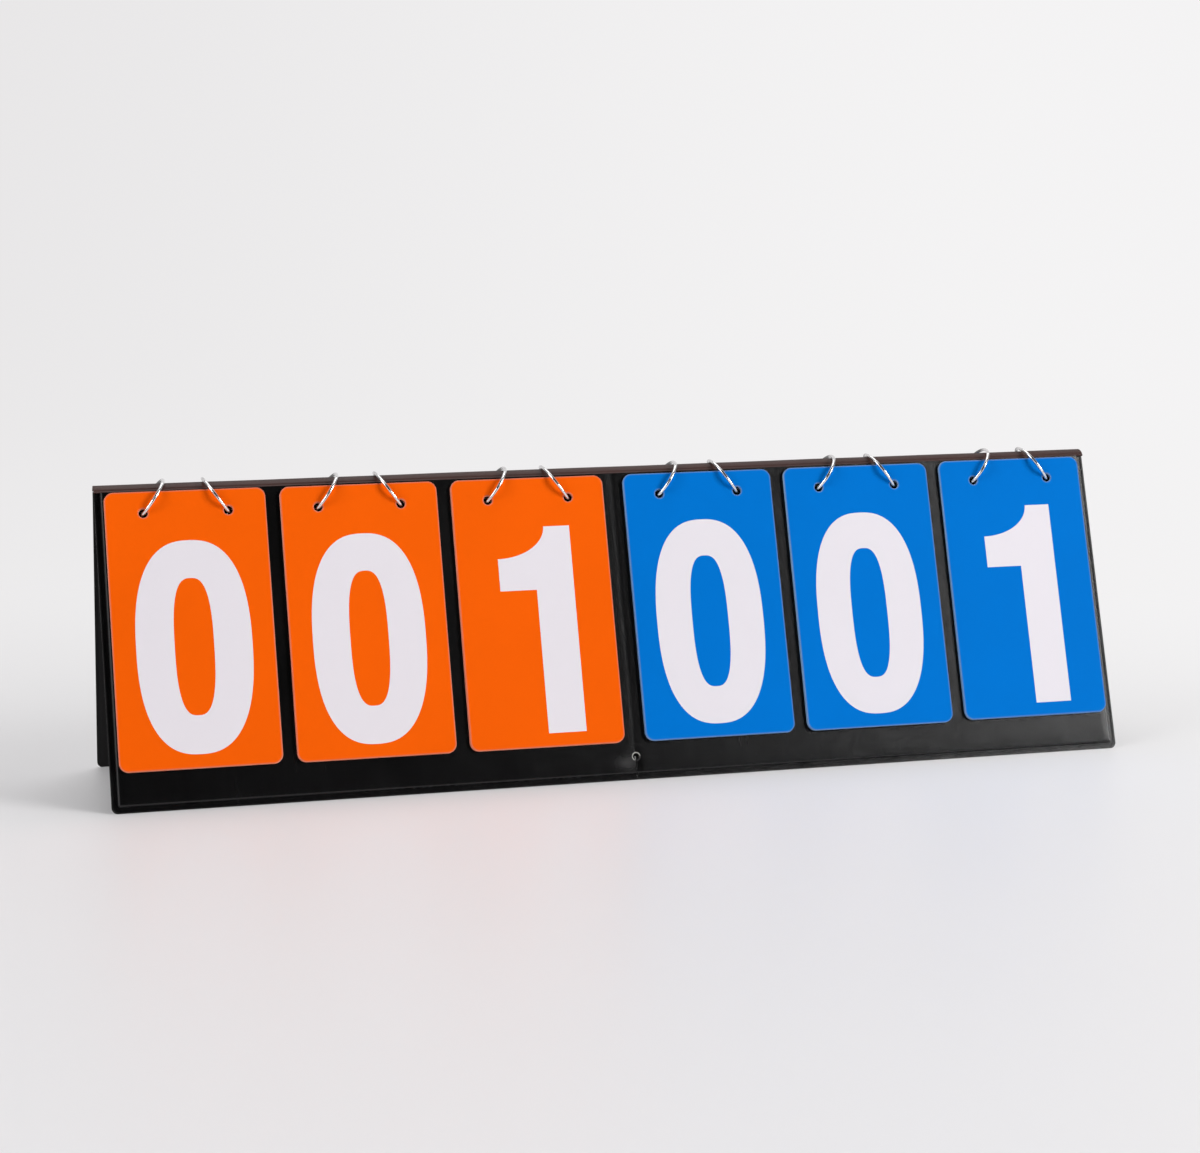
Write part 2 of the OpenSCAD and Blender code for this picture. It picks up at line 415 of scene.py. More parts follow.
@dataclass(frozen=True)
class Plating(Finish):
    """Bright plated wire with fine draw marks.

    Attributes:
        hole_shade_n: Heights over a panel's face between which the painted shade on the wire in the holes
            ends.
        hole_shade_u: Distances below a panel's top edge between which that painted shade begins.
        ridge_shade_y: Places past the ridge between which the wire gets painted shade.
        ridge_shade_z: Heights between which it does.
    """

    hole_shade_n: Pair = (1.0, 2.2)
    hole_shade_u: Pair = (8.0, 9.5)
    ridge_shade_y: Pair = (0.0, 5.0)
    ridge_shade_z: Pair = (161.5, 164.0)

    def sockets(self, graph: Graph) -> dict[str, Value]:
        """Draw marks, a faint haze of handling, and painted shade on the wire where it runs in the holes
        and past the ridge.

        Args:
            graph: Node tree of the material.

        Returns:
            Values or links by socket name.
        """
        at = graph.place()
        haze = graph.noise(at, 190.0, detail=3.0)
        marks = graph.noise(at, 4200.0, detail=2.0, rough=0.7)
        size = graph.vector("ABSOLUTE", at)
        c, s, half = math.cos(math.radians(LEAN)), math.sin(math.radians(LEAN)), RIDGE_W / 2
        out = graph.along(size, (0.0, c / MM, s / MM)) - (half * c + RIDGE_Z * s)
        down = (RIDGE_Z * c - half * s) - graph.along(size, (0.0, -s / MM, c / MM))
        # Painted shade on the wire where it runs in the holes, near a panel's face and below its top edge
        sunk = (1.0 - out.between(*self.hole_shade_n)) * down.between(*self.hole_shade_u)
        # Painted shade on the wire past the ridge
        behind = graph.along(at, (0.0, 1.0 / MM, 0.0)).between(*self.ridge_shade_y) * 0.8
        behind = behind * graph.along(at, (0.0, 0.0, 1.0 / MM)).between(*self.ridge_shade_z)
        bright = graph.mix(haze.between(0.45, 0.75), self.colour, self.shade(0.78))
        # Both painted shades take the wire down to a twentieth of its colour
        colour = graph.mix(sunk + behind, bright, self.shade(0.05))
        return {"Metallic": 1.0, **self.coat(colour, haze * 0.10 + (marks - 0.5) * 0.05, marks)}


@dataclass(frozen=True)
class Pulpboard(Finish):
    """Recycled greyboard with flecks of pulp."""

    def sockets(self, graph: Graph) -> dict[str, Value]:
        """Flecks, long fibres and a felted surface.

        Args:
            graph: Node tree of the material.

        Returns:
            Values or links by socket name.
        """
        at = graph.place()
        fleck = graph.noise(at, 1300.0, detail=3.0, rough=0.7)
        fibre = graph.noise(graph.place((240.0, 1500.0, 1500.0)), 1.0, detail=3.0)
        colour = graph.mix(fleck.between(0.4, 0.72), self.colour, self.shade(0.6))
        return self.coat(colour, (fibre - 0.5) * 0.1, fibre * 0.6 + fleck * 0.4)


@dataclass(frozen=True)
class StudioPaint(Finish):
    """Plain pale sweep of the studio, which shows a steady tone far off.

    Attributes:
        left: Tone that the distant sweep shows on the left.
        right: Tone that it shows on the right.
        heart: Point in front of the tent from which the distance counts.
        near: Distance at which the steady tone begins, in metres.
        reach: Distance at which it is full, in metres.
        turn: Places across the studio between which left turns into right, in metres.
    """

    left: Colour = (0.800, 0.788, 0.794)
    right: Colour = (0.905, 0.898, 0.902)
    heart: Triple = (-0.25, -0.35, 0.0)
    near: float = 0.15
    reach: float = 1.1
    turn: Pair = (-1.5, 0.9)

    def sockets(self, graph: Graph) -> dict[str, Value]:
        """A trace of unevenness in the paint.

        Args:
            graph: Node tree of the material.

        Returns:
            Values or links by socket name.
        """
        cloud = graph.noise(graph.place(), 3.0, detail=2.0)
        colour = graph.mix(cloud, self.shade(0.985), self.colour)
        return {"Base Color": colour, "Roughness": self.roughness + (cloud - 0.5) * 0.04}

    def surface(self, graph: Graph, shader: Signal) -> Signal:
        """Fades the floor into the steady tone where a camera or a gloss sees it.

        Args:
            graph: Node tree of the material.
            shader: The plain painted surface.

        Returns:
            The shader that ends the tree.
        """
        at = graph.place()
        away = graph.vector("LENGTH", graph.vector("SUBTRACT", at, self.heart), output="Value")
        left, right = (
            graph.node("ShaderNodeEmission", inputs={"Color": tone, "Strength": 1.0})
            for tone in (self.left, self.right)
        )
        turned = graph.along(at, ACROSS).between(*self.turn)
        steady = graph.node("ShaderNodeMixShader", inputs={0: turned, 1: left, 2: right})
        seen = (graph.ray("Camera") + graph.ray("Glossy")).clamped()
        share = seen * away.between(self.near, self.reach)
        return graph.node("ShaderNodeMixShader", inputs={0: share, 1: shader, 2: steady})


COVER = Vinyl("black vinyl", (0.0020, 0.0019, 0.0021), roughness=0.245, specular=0.40, relief=0.045)
LINING = Vinyl(
    "lining vinyl", (0.0068, 0.0063, 0.0066),
    roughness=0.55, specular=0.28, grain=0.6, relief=0.03, streaks=0.2,
)
SPINE = Vinyl(
    "ridge vinyl", (0.037, 0.0125, 0.0095),
    roughness=0.50, specular=0.33, grain=0.8, relief=0.04, streaks=0.1,
)
BOARD = Pulpboard("greyboard", (0.27, 0.23, 0.18), roughness=0.9, specular=0.3, relief=0.05)
CHROME = Plating("bright plating", (0.78, 0.77, 0.77), roughness=0.16, specular=0.5, relief=0.0015)
WHITE_INK = PrintedCard("white ink", (0.775, 0.740, 0.785), roughness=0.58, specular=0.06, mottle=0.01)
SWEEP = StudioPaint("studio sweep", (0.785, 0.775, 0.785), roughness=0.45, specular=0.25)


class Ink(Enum):
    """The two colours of card: face and cut edge, and the record's slot."""

    ORANGE = ("orange_card", (0.965, 0.122, 0.0020), (0.88, 0.30, 0.14))
    BLUE = ("blue_card", (0.0, 0.176, 0.635), (0.16, 0.38, 0.62))

    @property
    def slot(self) -> str:
        """Name of the record's material slot."""
        return self.value[0]

    def faces(self) -> list[bpy.types.Material]:
        """Materials of a card: its face, then its cut edge.

        Returns:
            Both materials in order.
        """
        face = PrintedCard(self.name.lower() + " card", self.value[1], roughness=0.58, specular=0.015)
        edge = CutEdge(self.name.lower() + " card edge", self.value[2], roughness=0.6, specular=0.35)
        return [face.material(), edge.material()]


# Outlines


def arc(middle: tuple[float, float], radius: float, start: float, end: float, count: int) -> Array:
    """Points along an arc, both ends included; angles in degrees."""
    turn = np.radians(np.linspace(start, end, count))
    return np.stack([middle[0] + radius * np.cos(turn), middle[1] + radius * np.sin(turn)], 1)


def circle(middle: tuple[float, float], radius: float, count: int) -> Array:
    """Points round a circle, clockwise, as a hole's outline runs."""
    return arc(middle, radius, 360.0, 0.0, count + 1)[:-1]


def curve(
    start: Sequence[float], pull: Sequence[float], draw: Sequence[float], end: Sequence[float]
) -> Array:
    """Points along a cubic curve, its end left out.

    Args:
        start: First point.
        pull: Handle of the first point.
        draw: Handle of the last point.
        end: Last point.

    Returns:
        The points as rows.
    """
    t = np.linspace(0.0, 1.0, 19)[:-1, None]
    a, b, c, d = (np.array(p, float) for p in (start, pull, draw, end))
    return a * (1 - t) ** 3 + 3 * b * t * (1 - t) ** 2 + 3 * c * t**2 * (1 - t) + d * t**3


def upright(x: float, us: Array) -> Array:
    """Points up a straight line at one x."""
    return np.stack([np.full(len(us), x), us], 1)


def level(xs: Array, u: float) -> Array:
    """Points along a straight line at one height."""
    return np.stack([xs, np.full(len(xs), u)], 1)


def area(loop: Array) -> float:
    """Signed area of an outline, above 0 where it runs anticlockwise."""
    ahead = np.roll(loop, -1, 0)
    return float((loop[:, 0] * ahead[:, 1] - loop[:, 1] * ahead[:, 0]).sum() / 2)


def inset(loop: Array, by: float) -> Array:
    """Moves an outline into its material, which lies on its left.

    Args:
        loop: The outline.
        by: Distance that it moves.

    Returns:
        The moved outline, point for point.
    """
    step = np.roll(loop, -1, 0) - loop
    step /= np.linalg.norm(step, axis=1)[:, None]
    left = np.stack([-step[:, 1], step[:, 0]], 1)
    last = np.roll(left, 1, 0)
    return loop + by * (left + last) / (1.0 + (left * last).sum(1))[:, None]


def inside(points: Array, loops: Sequence[Array]) -> Array:
    """Tells which points lie within outlines, holes taken out.

    Args:
        points: Points as rows.
        loops: Outlines and holes.

    Returns:
        One truth value for each point.
    """
    odd = np.zeros(len(points), bool)
    for loop in loops:
        near = np.flatnonzero(
            (points >= loop.min(0)).all(1) & (points <= loop.max(0)).all(1)
        )
        ends = np.roll(loop, -1, 0)
        for some in np.array_split(near, max(1, len(near) * len(loop) // 4_000_000)):
            x, y = points[some, 0, None], points[some, 1, None]
            low, high = loop[:, 1][None], ends[:, 1][None]
            spans = (low > y) != (high > y)
            rise = np.where(high == low, 1.0, high - low)
            cross = loop[:, 0] + (y - low) / rise * (ends[:, 0] - loop[:, 0])
            odd[some] ^= (spans & (x < cross)).sum(1) % 2 == 1
    return odd


def depth(a: Array, b: Array, corner: float) -> Array:
    """Distance inward from the nearer of two edges that meet in a rounded corner.

    Args:
        a: Distance from the one edge.
        b: Distance from the other.
        corner: Radius between them.

    Returns:
        The distance, below 0 outside.
    """
    a, b = corner - a, corner - b
    return corner - np.hypot(np.maximum(a, 0), np.maximum(b, 0)) - np.minimum(np.maximum(a, b), 0)


def grid(xs: Array, us: Array) -> Array:
    """All crossings of two sets of lines, as rows."""
    return np.stack(np.meshgrid(xs, us), -1).reshape(-1, 2)


def smooth(t: Array) -> Array:
    """0 below 0, 1 above 1, and a smooth rise between."""
    t = np.clip(t, 0.0, 1.0)
    return t * t * (3.0 - 2.0 * t)


def bell(t: Array) -> Array:
    """1 at 0, falling away smoothly to both sides."""
    return np.exp(-(t**2))


@dataclass(frozen=True)
class Dent:
    """A smooth dent or rise that runs along a sheet.

    Attributes:
        height: Height at its middle, below 0 for a dent.
        wide: Distance from its middle at which about a third is left.
        at: Place of its middle.
    """

    height: float
    wide: float
    at: float = 0.0

    def __call__(self, t: Array) -> Array:
        """Height at a distance across it."""
        return self.height * bell((t - self.at) / self.wide)


@dataclass(frozen=True)
class Hollow:
    """The skin drawn in below the stop hole, more so on its left.

    Attributes:
        deep: Depth at its middle.
        left: Reach to the left.
        right: Reach to the right.
        tall: Reach up and down.
        low: Distance of its middle below the stop hole.
        share: Depth on the right as a share of that on the left.
    """

    deep: float = 0.46
    left: float = 10.5
    right: float = 3.0
    tall: float = 8.0
    low: float = 3.5
    share: float = 0.6

    def __call__(self, x: Array, up: Array) -> Array:
        """Height at places beside and above the stop hole."""
        away = np.hypot(x / np.where(x < 0, self.left, self.right), (up + self.low) / self.tall)
        return -self.deep * (1.0 - smooth(away)) * np.where(x < 0, 1.0, self.share)


# Crease of the fold, a second one beside its foot, and what a tool pressed round the stop hole
CREASE = (Dent(height=-0.07, wide=1.3), Dent(height=-0.05, wide=4.0))
FOOT_CREASE = Dent(height=-0.12, wide=0.35, at=2.1)
STOP_RIM = Dent(height=0.13, wide=0.26, at=0.42)
LINING_CREASE = Dent(height=0.14, wide=1.7)
# Line pressed into the ridge strip beside each weld
RIDGE_LINE = Dent(height=0.22, wide=0.42, at=0.95)
# Lines on the shoulder and at the outer edge, lightened partly by rubbing and partly as a painted
# highlight, and a painted highlight in the hollow left of the stop hole
SHOULDER_WEAR_AND_HIGHLIGHT = Dent(height=1.0, wide=0.5, at=0.45)
EDGE_WEAR_AND_HIGHLIGHT = Dent(height=0.6, wide=0.5)
HOLLOW_HIGHLIGHT = (Dent(height=0.65, wide=6.8, at=-6.3), Dent(height=1.0, wide=3.4, at=-3.2))


@dataclass(frozen=True)
class Ripple:
    """Gentle unevenness of a surface: a sum of long waves.

    Attributes:
        seed: Start of the wave draw.
        shortest: Shortest wave.
        longest: Longest wave.
        count: Number of waves.
    """

    seed: int
    shortest: float
    longest: float
    count: int = 9

    def __call__(self, x: Array, u: Array) -> Array:
        """Height from about -1 to 1 at each point.

        Args:
            x: Places along the panel.
            u: Places up the slope, 0 at the top edge.

        Returns:
            The heights.
        """
        draw = np.random.default_rng(self.seed)
        total = np.zeros(np.broadcast(x, u).shape)
        for _ in range(self.count):
            wave = 2 * math.pi / draw.uniform(self.shortest, self.longest)
            way, start = draw.uniform(0, math.pi), draw.uniform(0, 2 * math.pi)
            total += np.sin(wave * (x * math.cos(way) + u * math.sin(way)) + start)
        return total / self.count * 1.6


# Meshes


@dataclass
class Solid:
    """A closed mesh in a panel's own frame.

    Attributes:
        points: Points as rows of along, up the slope, and outward.
        faces: Triangles of the two faces.
        cuts: Quads of the cut edges.
        wear_and_highlight: Rubbing and painted highlight at each point: up to 2 the edge colour, from 2 to
            3 the painted highlight of the stop hole's lip.
    """

    points: Array
    faces: Array
    cuts: Array
    wear_and_highlight: Array

    def __add__(self, other: Solid) -> Solid:
        """Both solids as one.

        Args:
            other: The solid to add.

        Returns:
            A new solid.
        """
        shift = len(self.points)
        return Solid(
            np.concatenate([self.points, other.points]),
            np.concatenate([self.faces, other.faces + shift]),
            np.concatenate([self.cuts, other.cuts + shift]),
            np.concatenate([self.wear_and_highlight, other.wear_and_highlight]),
        )

    def moved(self, along: float, up: float, turn: float = 0.0) -> Solid:
        """The solid slid in its plane after a turn, in degrees, about its origin.

        Args:
            along: Distance along the panel.
            up: Distance up the slope.
            turn: Turn in degrees, made first.

        Returns:
            A new solid.
        """
        c, s = math.cos(math.radians(turn)), math.sin(math.radians(turn))
        x, u, n = self.points.T
        slid = np.stack([x * c - u * s + along, x * s + u * c + up, n], 1)
        return Solid(slid, self.faces, self.cuts, self.wear_and_highlight)


class Pattern:
    """A flat shape cut from sheet, ready to be given heights.

    Args:
        outlines: Anticlockwise outlines and clockwise holes.
        fill: Points wanted between them.
        soft: Width of the broken edge.
        clear: Least distance from a fill point to an outline.
        collars: Distances inward of rows of points that follow the outlines.
    """

    def __init__(
        self,
        outlines: Sequence[Array],
        fill: Array,
        soft: float = 0.0,
        clear: float = 0.3,
        collars: Sequence[float] = (),
    ) -> None:
        """Cuts the shape into triangles.

        Args:
            outlines: Anticlockwise outlines and clockwise holes.
            fill: Points wanted between them.
            soft: Width of the broken edge.
            clear: Least distance from a fill point to an outline.
            collars: Distances inward of rows of points that follow the outlines.
        """
        self.outlines = list(outlines)
        self.soft = soft
        rims = [inset(loop, soft) if soft else loop for loop in self.outlines]
        edge = np.concatenate(rims)
        rows = [inset(loop, by) for loop in self.outlines for by in collars]
        fill = fill[inside(fill, rims)]
        near = np.array([np.abs(edge - p).max(1).min() > clear for p in fill], bool)
        given = np.concatenate([edge, *rows, fill[near]])
        bonds, start = [], 0
        for rim in [*rims, *rows]:
            size = len(rim)
            bonds += [(start + i, start + (i + 1) % size) for i in range(size)]
            start += size
        flat = [Vector(p) for p in given]
        points, _, faces, origin = geometry.delaunay_2d_cdt(flat, bonds, [], 0, 1e-6)[:4]
        self.points = np.array([tuple(p) for p in points])
        kept = np.full(len(given), -1)
        for index, sources in enumerate(origin):
            kept[list(sources)] = index
        triangles = np.array(faces)
        self.faces = triangles[inside(self.points[triangles].mean(1), rims)]
        ends = np.cumsum([len(rim) for rim in rims])
        self.rims = np.split(kept[: ends[-1]], ends[:-1])

    def solid(self, front: Field, rear: Field, wear_and_highlight: Field | None = None) -> Solid:
        """Gives the shape its thickness.

        Args:
            front: Height of the outward face.
            rear: Height of the other face.
            wear_and_highlight: Rubbing and painted highlight of the outward face.

        Returns:
            The closed solid.
        """
        x, u = self.points.T
        worn_and_lit = wear_and_highlight or (lambda a, b: np.zeros(len(a)))
        count = len(x)
        layers = [np.stack([x, u, front(x, u)], 1), np.stack([x, u, rear(x, u)], 1)]
        wear_with_highlight = [worn_and_lit(x, u), np.zeros(count)]
        cuts, total = [], 2 * count
        for loop, rim in zip(self.outlines, self.rims, strict=True):
            steps = [rim + count, rim]
            if self.soft:
                a, b = loop.T
                size = len(loop)
                for height in (rear(a, b) + self.soft, front(a, b) - self.soft):
                    layers.append(np.stack([a, b, height], 1))
                    wear_with_highlight.append(np.zeros(size))
                low = total + np.arange(size)
                steps = [rim + count, low, low + size, rim]
                total += 2 * size
            for lower, upper in zip(steps, steps[1:], strict=False):
                cuts.append(
                    np.stack([lower, np.roll(lower, -1), np.roll(upper, -1), upper], 1)
                )
        faces = np.concatenate([self.faces, self.faces[:, ::-1] + count])
        return Solid(np.concatenate(layers), faces, np.concatenate(cuts), np.concatenate(wear_with_highlight))


class Side(Enum):
    """The two panels of the tent."""

    FRONT = -1
    BACK = 1

    @property
    def body(self) -> str:
        """Body of the frame that carries this side."""
        return "root" if self is Side.FRONT else "back_panel"

    @property
    def seed(self) -> int:
        """Start of the draws for its skin."""
        return 11 if self is Side.FRONT else 23

    @property
    def word(self) -> str:
        """The side's name within a piece's name."""
        return self.name.lower()


@dataclass(frozen=True)
class Tent:
    """How the two panels stand.

    Attributes:
        length: Length along the ridge.
        height: Height of a panel down its slope.
        lean: Angle of a panel from upright, in degrees.
        ridge_w: Distance between the outer faces at the ridge.
        ridge_z: Height of the panels' top edges.
    """

    length: float = 570.0
    height: float = 172.0
    lean: float = LEAN
    ridge_w: float = RIDGE_W
    ridge_z: float = RIDGE_Z

    def stand(self, side: Side, points: Array) -> Array:
        """Stands points of a panel's own frame up on the table.

        Args:
            side: Panel that they belong to.
            points: Rows of along, up the slope, and outward.

        Returns:
            Rows of x, y, z in metres, none below the table.
        """
        s, c = math.sin(math.radians(self.lean)), math.cos(math.radians(self.lean))
        x, u, n = points.T
        y = self.ridge_w / 2 - u * s + n * c
        z = self.ridge_z + u * c + n * s
        return np.stack([x, side.value * y, np.maximum(z, 0.0)], 1) * MM

    def piece(
        self, name: str, side: Side, solid: Solid, materials: Sequence[bpy.types.Material]
    ) -> bpy.types.Object:
        """Makes a solid of one side into an object.

        Args:
            name: Name of the piece.
            side: Panel that it lies on.
            solid: Its mesh in the panel's frame.
            materials: Materials of the faces and, if there are two, of the cuts.

        Returns:
            The object, riding on nothing yet.
        """
        way = 1 if side is Side.FRONT else -1
        faces = solid.faces[:, ::way].tolist() + solid.cuts[:, ::way].tolist()
        made = make_object(name, self.stand(side, solid.points), faces, materials, solid.wear_and_highlight)
        if len(materials) > 1:
            kinds = np.zeros(len(faces), np.int32)
            kinds[len(solid.faces) :] = 1
            made.data.polygons.foreach_set("material_index", kinds)
        return made


def put_in_scene(name: str, data: bpy.types.ID) -> bpy.types.Object:
    """Makes an object of a mesh, a lamp or a camera.

    Args:
        name: Name of the object.
        data: Its mesh, lamp or camera.

    Returns:
        The object.
    """
    made = bpy.data.objects.new(name, data)
    bpy.context.scene.collection.objects.link(made)
    return made


def make_object(
    name: str,
    points: Array,
    faces: Sequence[Sequence[int]],
    materials: Sequence[bpy.types.Material],
    wear_and_highlight: Array | None = None,
    sharp: float = 32.0,
) -> bpy.types.Object:
    """Makes a smooth-shaded mesh object.

    Args:
        name: Name of the object.
        points: Points as rows, in metres.
        faces: Corners of each face.
        materials: Its materials in order.
        wear_and_highlight: Rubbing and painted highlight of each point, kept on the mesh.
        sharp: Edges that turn more than this many degrees stay crisp.

    Returns:
        The object, in the scene.
    """
    mesh = bpy.data.meshes.new(name)
    mesh.from_pydata(points.tolist(), [], faces)
    mesh.polygons.foreach_set("use_smooth", np.ones(len(mesh.polygons), bool))
    if wear_and_highlight is not None:
        wear_with_highlight = mesh.attributes.new("wear_and_highlight", "FLOAT", "POINT")
        wear_with_highlight.data.foreach_set("value", wear_and_highlight.astype(np.float32))
    mesh.set_sharp_from_angle(angle=math.radians(sharp))
    for material in materials:
        mesh.materials.append(material)
    mesh.update()
    return put_in_scene(name, mesh)


def report(piece: bpy.types.Object, body: str, slot: str, *nodes: str) -> None:
    """Rides and logs a finished piece, and hides the nodes that it stands for.

    Args:
        piece: The piece.
        body: Body that carries it.
        slot: Material slot of the record; not used.
        nodes: Nodes of the frame that it stands for.
    """
    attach(piece, body)
    if nodes:
        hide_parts(*nodes)
    LOG.info("%s: %d points on %s", piece.name, len(piece.data.vertices), body)


# Panels


@dataclass
class Panel:
    """One panel: the skin over its boards and the lining behind them.

    Attributes:
        tent: How the panels stand.
        side: Which of the two this is.
        thick: Whole thickness.
        sheet: Thickness of the skin and of the lining.
        weld: Width of the welded margin.
        shoulder: Width over which the skin rises onto the boards.
        corner: Radius of the lower corners.
        solid_top: Depth of the edge that is welded through at the ridge.
        hole: Radius of the ring holes.
        hole_down: Distance from the top edge to the ring holes.
        hole_x: Places of the ring holes along the panel.
        stop: Radius of the stop hole at the foot of the fold.
        stop_up: Height of the stop hole over the lower edge.
        slit: Half the width of the slit below it.
        slack: Height of the slack skin, measured from the panel's face.
        deepest: Greatest depth of the skin's hollows.
        pillow: How much lower the skin lies at its shoulder, and the width over which it rises.
        puckers_count: Number of creases that run up from the lower weld.
        steps: Distances inward from an edge of the rows of points.
    """

    tent: Tent
    side: Side
    thick: float = 2.8
    sheet: float = 0.4
    weld: float = 3.4
    shoulder: float = 1.0
    corner: float = 3.5
    solid_top: float = 2.0
    hole: float = 3.0
    hole_down: float = 14.3
    hole_x: Sequence[float] = ()
    stop: float = 1.8
    stop_up: float = 12.7
    slit: float = 0.3
    slack: float = -0.07
    deepest: float = 0.46
    pillow: Pair = (0.17, 4.5)
    puckers_count: int = 70
    steps: list[float] = field(
        default_factory=lambda: [
            0.5, 0.9, 1.3, 1.7, 2.1, 2.5, 3.0, 3.40, 3.43, 3.47, 3.53, 3.62, 3.74, 3.9, 4.1, 4.4, 4.9, 5.6
        ]
    )

    @property
    def stop_at(self) -> float:
        """Place of the stop hole up the slope, from the top edge."""
        return self.stop_up - self.tent.height

    def from_edge(self, x: Array, u: Array) -> Array:
        """Distance inward from the sides and the lower edge, corners rounded."""
        return depth(self.tent.length / 2 - np.abs(x), self.tent.height + u, self.corner + 1.0)

    def rise(self, d: Array) -> Array:
        """0 on the margin, 1 on the boards, rounded at the shoulder."""
        t = np.clip((d - self.weld) / self.shoulder, 0.0, 1.0)
        return (1.0 - (1.0 - t) ** 2.4) ** (1 / 2.4)

    @staticmethod
    def weld_bar(d: Array) -> Array:
        """Where the welding bar pressed the margin, 1 at its middle."""
        return np.exp(-(((d - 1.9) / 0.62) ** 4))

    def relief(self, x: Array, u: Array) -> Array:
        """Unevenness of the skin over the boards, never above its face.

        Args:
            x: Places along the panel.
            u: Places up the slope, 0 at the top edge.

        Returns:
            Heights over the face, 0 or less.
        """
        d = self.from_edge(x, u)
        # 0 above 30 mm over the foot, 1 below 16 mm
        low = smooth((-u - self.tent.height + 30.0) / 14.0)
        seed = self.side.seed
        long = Ripple(seed, shortest=24.0, longest=80.0)(x, u * 1.6) * (0.035 + 0.065 * low)
        short = Ripple(seed + 1, shortest=5.0, longest=13.0, count=14)(x * 1.5, u * 0.35) * 0.014 * low
        pillow = -self.pillow[0] * (1.0 - smooth((d - self.weld) / self.pillow[1]))
        fold = CREASE[0](x) + CREASE[1](x)
        pull = Hollow()(x, u - self.stop_at)
        second = FOOT_CREASE(x) * smooth((self.stop_at - u) / 2.0)
        rim = np.hypot(x, u - self.stop_at) - self.stop
        pressed = STOP_RIM(rim) - 0.16 * (1.0 - smooth((rim - 0.2) / 1.2))
        total = self.slack + long + short + pillow + fold + pull + second + pressed
        total += self.puckers(x, u, seed)
        return -self.deepest * np.tanh(np.maximum(-total, 0.0) / self.deepest)

    def puckers(self, x: Array, u: Array, seed: int) -> Array:
        """Small creases that run up from the lower weld.

        Args:
            x: Places along the panel.
            u: Places up the slope, 0 at the top edge.
            seed: Start of the draws for this panel.

        Returns:
            Heights, 0 or less.
        """
        draw = np.random.default_rng(seed + 40)
        up = self.tent.height + u - self.weld
        total = np.zeros(len(x))
        reach = self.tent.length / 2 - 7.0
        for _ in range(self.puckers_count):
            at, wide = draw.uniform(-reach, reach), draw.uniform(1.4, 4.2)
            tall, deep = draw.uniform(4.0, 13.0), draw.uniform(0.006, 0.024)
            tilt = draw.uniform(-0.5, 0.5)
            near = bell((x - at - tilt * up) / wide)
            total -= deep * near * np.exp(-np.maximum(up, 0.0) / tall)
        return total

    def skin_front(self, x: Array, u: Array) -> Array:
        """Height of the skin's outer face.

        Args:
            x: Places along the panel.
            u: Places up the slope, 0 at the top edge.

        Returns:
            Heights over the face.
        """
        d = self.from_edge(x, u)
        margin = -(self.thick - 2 * self.sheet)
        over = self.rise(d)
        groove = -0.05 * self.weld_bar(d)
        waved = Ripple(seed=5, shortest=14.0, longest=40.0)(x, u) * 0.04
        return margin + (groove + waved) * (1 - over) + over * (self.relief(x, u) - margin)

    def skin_rear(self, x: Array, u: Array) -> Array:
        """Height of the skin's inner face, down to the lining at the top edge.

        Args:
            x: Places along the panel.
            u: Places up the slope, 0 at the top edge.

        Returns:
            Heights over the face.
        """
        d = self.from_edge(x, u) - self.sheet
        low = -(self.thick - self.sheet)
        over = self.rise(d)
        inner = low + over * (self.relief(x, u) - self.sheet - low)
        return np.where(u > -self.solid_top - 0.01, low, inner)

    def lining_rear(self, x: Array, u: Array) -> Array:
        """Height of the lining's open face, which looks into the tent.

        Args:
            x: Places along the panel.
            u: Places up the slope, 0 at the top edge.

        Returns:
            Heights over the face.
        """
        d = np.minimum(self.from_edge(x, u), -u + 0.6)
        groove = 0.12 * self.weld_bar(d)
        fold = LINING_CREASE(x)
        waved = 0.03 + Ripple(seed=31, shortest=25.0, longest=80.0)(x, u) * 0.03
        return -self.thick + groove + fold + waved * smooth((d - 3.0) / 3.0)

    def edge_wear(self, x: Array, u: Array) -> Array:
        """Rubbing and painted highlights along the shoulder and the outer edge, and painted highlights on
        the stop hole's lip and in the hollow left of it.

        Args:
            x: Places along the panel.
            u: Places up the slope, 0 at the top edge.

        Returns:
            Rubbing and painted highlight from 0 to 3; above 2 the painted highlight of the lip.
        """
        d = self.from_edge(x, u)
        # More near the two sides, where the shoulder also carries a painted highlight; then the lip of the
        # stop hole, with a painted highlight strongest on its upper and left parts
        side = 0.35 + 0.65 * smooth((np.abs(x) - self.tent.length / 2 + 9.0) / 5.0)
        worn_and_lit = side * SHOULDER_WEAR_AND_HIGHLIGHT(d - self.weld) + EDGE_WEAR_AND_HIGHLIGHT(d)
        up = u - self.stop_at
        lip = 1.0 - smooth((np.hypot(x, up) - self.stop - 0.5) / 0.3)
        lit = np.maximum(smooth((up + 0.6) / 1.4), smooth((-x - up * 0.5 - 1.2) / 1.0))
        # Painted highlight in the hollow left of the stop hole
        hollow_highlight_share = HOLLOW_HIGHLIGHT[0](x) * HOLLOW_HIGHLIGHT[1](up) * (x < 0)
        return np.clip(np.maximum(worn_and_lit + hollow_highlight_share, (1.4 + 1.6 * lit) * lip), 0.0, 3.0)

